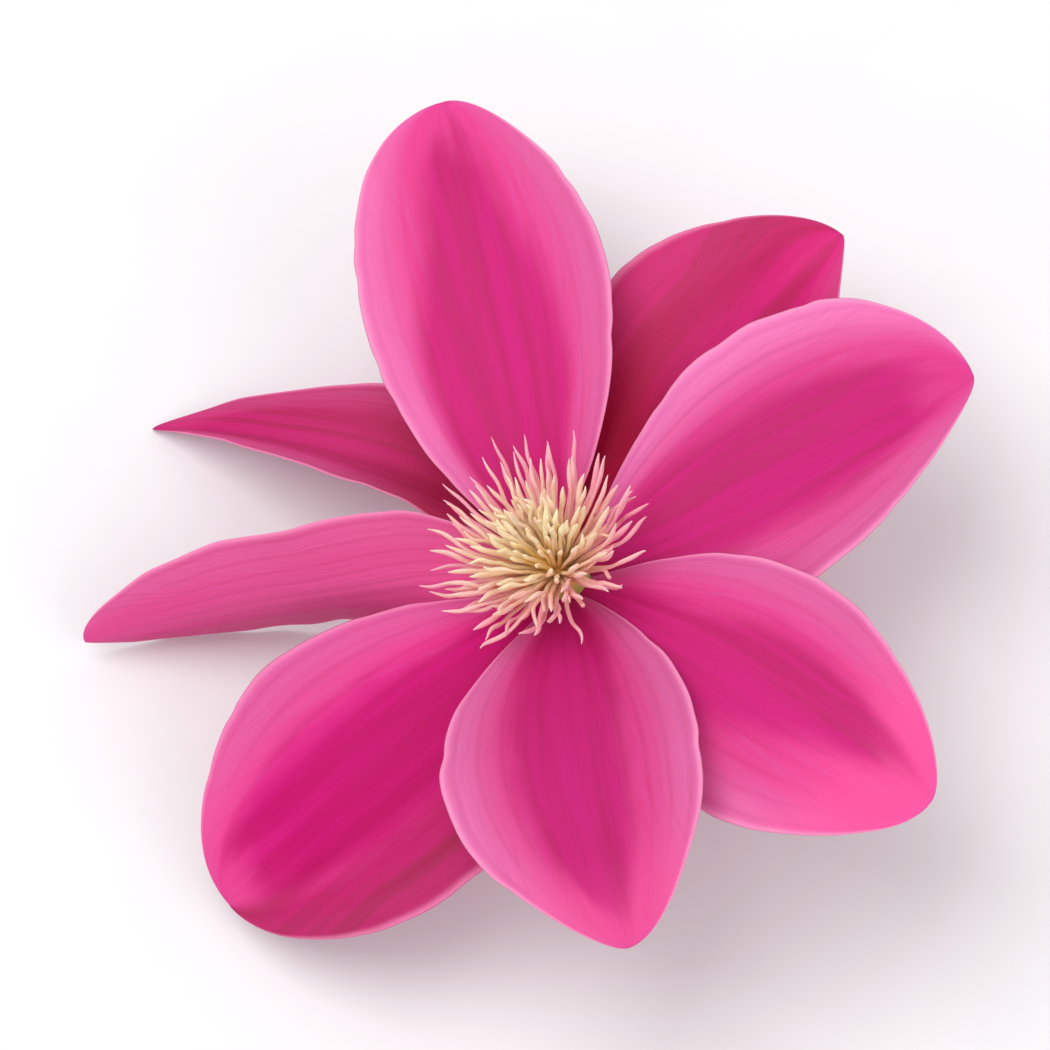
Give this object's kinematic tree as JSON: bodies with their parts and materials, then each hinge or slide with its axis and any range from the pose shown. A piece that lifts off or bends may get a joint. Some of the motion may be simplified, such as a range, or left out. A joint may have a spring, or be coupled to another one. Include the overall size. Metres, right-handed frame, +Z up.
{
  "type": "clematis flower",
  "caption": "Large open clematis blossom lying face up on its low petals and its cut stalk, with a tuft of stamens and pistils in the middle.",
  "frame": {"origin": "on the surface that the blossom lies on, below the centre of its bounding box", "axes": "+Z up out of the open face, +Y towards the top petal of the picture, +X to the picture's right"},
  "size_m": [0.1414, 0.1434, 0.0506],
  "materials": {
    "sepal": "velvety, deep pink with a magenta bar along the middle",
    "pedicel": "matt green plant stem, slightly brown",
    "stamen": "matt cream, pinkish at the foot",
    "pistil": "matt yellow-green"
  },
  "bodies": {
    "root": {"sepal_1": "sepal", "sepal_2": "sepal", "sepal_3": "sepal", "sepal_4": "sepal", "sepal_5": "sepal", "sepal_6": "sepal", "sepal_7": "sepal", "sepal_8": "sepal", "pedicel": "pedicel", "stamen_01": "stamen", "stamen_02": "stamen", "stamen_03": "stamen", "stamen_04": "stamen", "stamen_05": "stamen", "stamen_06": "stamen", "stamen_07": "stamen", "stamen_08": "stamen", "stamen_09": "stamen", "stamen_10": "stamen", "stamen_11": "stamen", "stamen_12": "stamen", "stamen_13": "stamen", "stamen_14": "stamen", "stamen_15": "stamen", "stamen_16": "stamen", "stamen_17": "stamen", "stamen_18": "stamen", "stamen_19": "stamen", "stamen_20": "stamen", "stamen_21": "stamen", "stamen_22": "stamen", "stamen_23": "stamen", "stamen_24": "stamen", "stamen_25": "stamen", "stamen_26": "stamen", "stamen_27": "stamen", "stamen_28": "stamen", "stamen_29": "stamen", "stamen_30": "stamen", "stamen_31": "stamen", "stamen_32": "stamen", "stamen_33": "stamen", "stamen_34": "stamen", "stamen_35": "stamen", "stamen_36": "stamen", "stamen_37": "stamen", "stamen_38": "stamen", "stamen_39": "stamen", "stamen_40": "stamen", "stamen_41": "stamen", "stamen_42": "stamen", "stamen_43": "stamen", "stamen_44": "stamen", "pistil_1": "pistil", "pistil_2": "pistil", "pistil_3": "pistil", "pistil_4": "pistil", "pistil_5": "pistil", "pistil_6": "pistil", "pistil_7": "pistil"}
  },
  "joints": []
}
